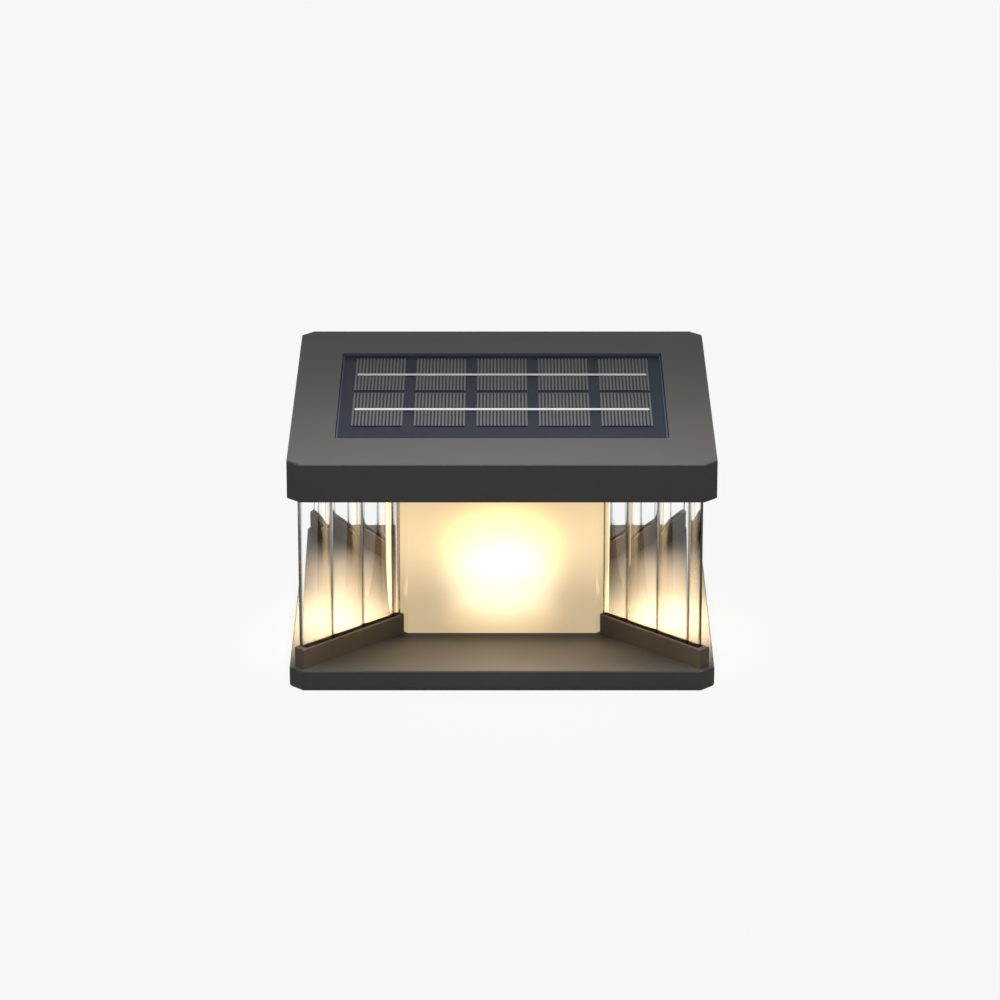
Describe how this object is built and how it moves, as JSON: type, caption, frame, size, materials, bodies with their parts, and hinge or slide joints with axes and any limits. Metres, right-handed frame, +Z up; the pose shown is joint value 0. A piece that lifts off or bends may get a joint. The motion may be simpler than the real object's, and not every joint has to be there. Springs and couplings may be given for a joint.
{
  "type": "deck post cap light",
  "caption": "Square solar post cap light: flat cap with a solar panel, slim base, frosted glowing box and clear fluted diagonal fins.",
  "frame": {"origin": "centre of the underside, on the post top", "axes": "+Z up through the cap, -Y towards the viewer, +X to the right"},
  "size_m": [0.15, 0.15, 0.0852],
  "materials": {
    "housing": "satin",
    "rail": "satin",
    "clear_fin": "polished",
    "frosted": "frosted",
    "seal": "matt",
    "white_moulding": "satin",
    "light_board": "satin",
    "lamp_chip": "gloss",
    "screw_steel": "bright",
    "cell_sleeve": "gloss",
    "contact_metal": "bright",
    "switch_black": "satin",
    "button_rubber": "matt",
    "adhesive": "matt",
    "solar_back": "gloss",
    "solar_silicon": "gloss",
    "busbar": "bright",
    "solar_clear": "gloss",
    "circuit_board": "satin",
    "component": "satin"
  },
  "bodies": {
    "lamp": {"base_tray": "housing", "battery_cell": "cell_sleeve", "battery_leaf_contact": "contact_metal", "battery_top_contact": "contact_metal", "board_components": "component", "board_screws": "screw_steel", "bottom_cover": "housing", "bottom_cover_screws": "screw_steel", "bottom_gasket": "seal", "cap_gasket": "seal", "cap_screws": "screw_steel", "cap_shell": "housing", "ceiling_plate": "housing", "fin_front_left": "clear_fin", "fin_front_right": "clear_fin", "fin_rail_front_left": "rail", "fin_rail_front_right": "rail", "fin_rail_rear_left": "rail", "fin_rail_rear_right": "rail", "fin_rear_left": "clear_fin", "fin_rear_right": "clear_fin", "led_board_front": "light_board", "led_board_left": "light_board", "led_board_rear": "light_board", "led_board_right": "light_board", "led_board_screws": "screw_steel", "leds": "lamp_chip", "light_box": "frosted", "light_box_lower_seal": "seal", "light_box_upper_seal": "seal", "main_board": "circuit_board", "mast": "white_moulding", "mast_base_screws": "screw_steel", "mast_cap_screws": "screw_steel", "solar_adhesive": "adhesive", "solar_board": "solar_back", "solar_busbars": "busbar", "solar_cells": "solar_silicon", "solar_cover": "solar_clear", "switch_body": "switch_black"},
    "button": {"power_button": "button_rubber"}
  },
  "joints": [
    {"name": "power_press", "type": "slide", "parent": "lamp", "child": "button", "axis": [0, 0, 1], "range_m": [0, 0.0012], "stiffness_N_per_m": 400}
  ]
}
